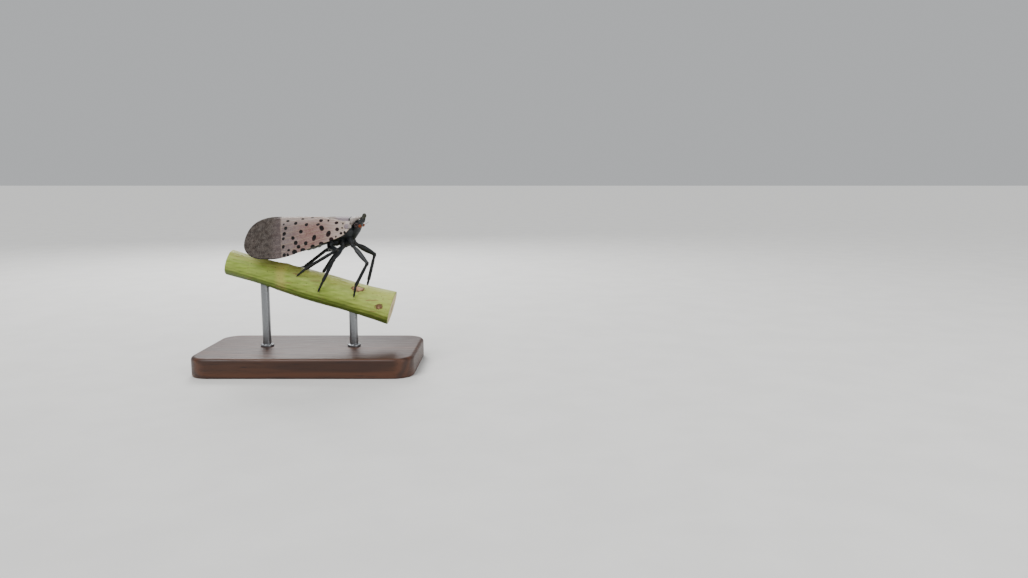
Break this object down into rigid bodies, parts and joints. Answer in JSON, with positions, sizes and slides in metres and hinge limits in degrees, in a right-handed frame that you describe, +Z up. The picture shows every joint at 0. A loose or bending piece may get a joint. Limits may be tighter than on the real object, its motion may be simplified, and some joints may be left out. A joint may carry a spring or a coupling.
{
  "type": "spotted lanternfly model",
  "caption": "Life-size still model of an adult spotted lanternfly at rest with its wings closed like a roof, on a cut stem held over a flat display base.",
  "frame": {"origin": "middle of the display base's underside", "axes": "+Z up, +X the way the insect faces, +Y to the insect's left"},
  "size_m": [0.044, 0.024, 0.0315],
  "materials": {
    "cuticle": "black cuticle with a grey-blue waxy bloom, half gloss",
    "eye": "dark red-brown compound eye, glossy",
    "antenna": "orange, satin",
    "forewing": "pinkish grey with black spots and a dark net at the tip, satin",
    "hindwing": "red with black spots, white band and black tip, satin",
    "notum": "pale waxy grey, matte",
    "abdomen": "yellow with black bands, half gloss",
    "stem": "live green bark with corky marks, satin",
    "base": "dark oiled wood, satin",
    "rod": "brushed steel"
  },
  "bodies": {
    "root": {"head": "cuticle", "thorax": "cuticle", "scutellum": "notum", "pronotum": "notum", "abdomen": "abdomen", "rostrum_1": "cuticle", "rostrum_2": "cuticle", "perch_stem": "stem", "stand_base": "base", "stand_rod_rear": "rod", "stand_rod_front": "rod", "eye_right": "eye", "antenna_right": "antenna", "forewing_right": "forewing", "hindwing_right": "hindwing", "foreleg_right_coxa": "cuticle", "foreleg_right_femur": "cuticle", "foreleg_right_tibia": "cuticle", "foreleg_right_tarsus": "cuticle", "midleg_right_coxa": "cuticle", "midleg_right_femur": "cuticle", "midleg_right_tibia": "cuticle", "midleg_right_tarsus": "cuticle", "hindleg_right_coxa": "cuticle", "hindleg_right_femur": "cuticle", "hindleg_right_tibia": "cuticle", "hindleg_right_tarsus": "cuticle", "eye_left": "eye", "antenna_left": "antenna", "forewing_left": "forewing", "hindwing_left": "hindwing", "foreleg_left_coxa": "cuticle", "foreleg_left_femur": "cuticle", "foreleg_left_tibia": "cuticle", "foreleg_left_tarsus": "cuticle", "midleg_left_coxa": "cuticle", "midleg_left_femur": "cuticle", "midleg_left_tibia": "cuticle", "midleg_left_tarsus": "cuticle", "hindleg_left_coxa": "cuticle", "hindleg_left_femur": "cuticle", "hindleg_left_tibia": "cuticle", "hindleg_left_tarsus": "cuticle"}
  },
  "joints": []
}
